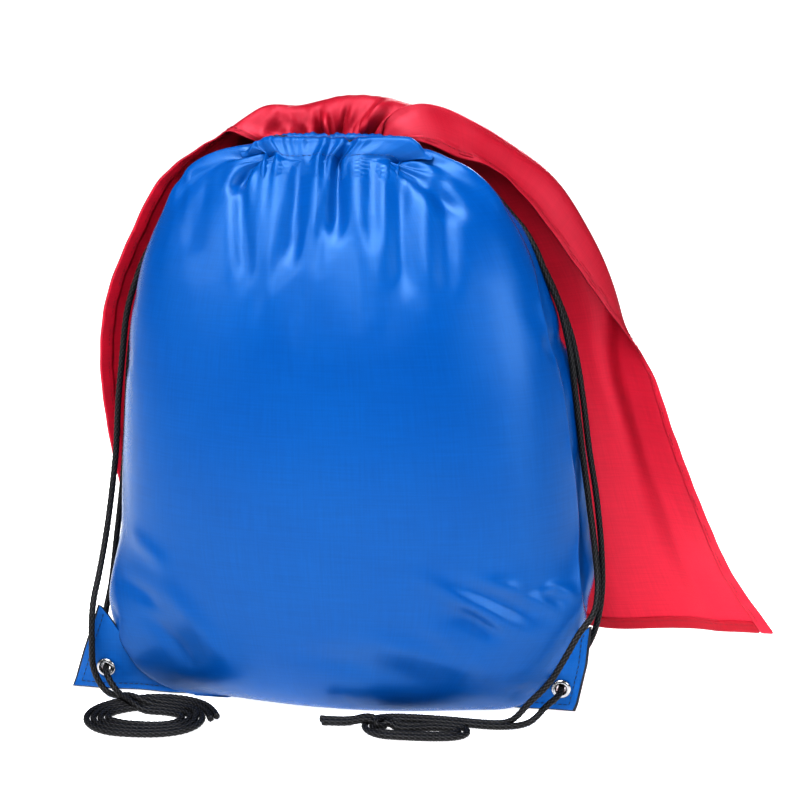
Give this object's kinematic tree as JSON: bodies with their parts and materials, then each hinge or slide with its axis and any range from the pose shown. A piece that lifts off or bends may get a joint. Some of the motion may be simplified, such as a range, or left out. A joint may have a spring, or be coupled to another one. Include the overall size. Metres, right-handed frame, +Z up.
{
  "type": "drawstring backpack with cape",
  "caption": "Stuffed, free-standing drawstring backpack with braided cord straps through corner eyelets and a hemmed cape sewn at the gathered neck, swinging up behind.",
  "frame": {"origin": "middle of the bag's flat base, on the surface that it stands on", "axes": "+Z up out of the mouth, +X to the right as seen from the front, the front panel towards -Y and the cape towards +Y"},
  "size_m": [0.4807, 0.2242, 0.393],
  "materials": {
    "bag_fabric": "satin woven polyester, royal blue",
    "cape_fabric": "thin woven polyester, bright red",
    "corner_backing": "matte black reinforcing fabric",
    "cord": "braided polyester, black",
    "eyelet_metal": "bright nickel-plated steel"
  },
  "bodies": {
    "bag": {"front_panel_lower": "bag_fabric", "front_panel_middle": "bag_fabric", "front_panel_upper": "bag_fabric", "back_panel_lower": "bag_fabric", "back_panel_middle": "bag_fabric", "back_panel_upper": "bag_fabric", "front_casing": "bag_fabric", "back_casing": "bag_fabric", "left_corner_facing": "bag_fabric", "left_corner_backing": "corner_backing", "left_eyelet": "eyelet_metal", "left_eyelet_washer": "eyelet_metal", "right_corner_facing": "bag_fabric", "right_corner_backing": "corner_backing", "right_eyelet": "eyelet_metal", "right_eyelet_washer": "eyelet_metal", "left_drawstring_in_casing": "cord", "right_drawstring_in_casing": "cord", "left_front_strap": "cord", "left_rear_strap": "cord", "right_front_strap": "cord", "right_rear_strap": "cord", "left_front_end": "cord", "left_rear_end": "cord", "right_front_end": "cord", "right_rear_end": "cord", "left_tail_coil": "cord", "right_tail_hank": "cord", "cape_ruff": "cape_fabric"},
    "cape": {"cape_panel": "cape_fabric", "cape_left_hem": "cape_fabric", "cape_right_hem": "cape_fabric", "cape_bottom_hem": "cape_fabric"}
  },
  "joints": [
    {"name": "cape_swing", "type": "hinge", "parent": "bag", "child": "cape", "pos_m": [-0.0105, 0.048, 0.362], "axis": [1, 0, 0], "range_deg": [0, 100]}
  ]
}
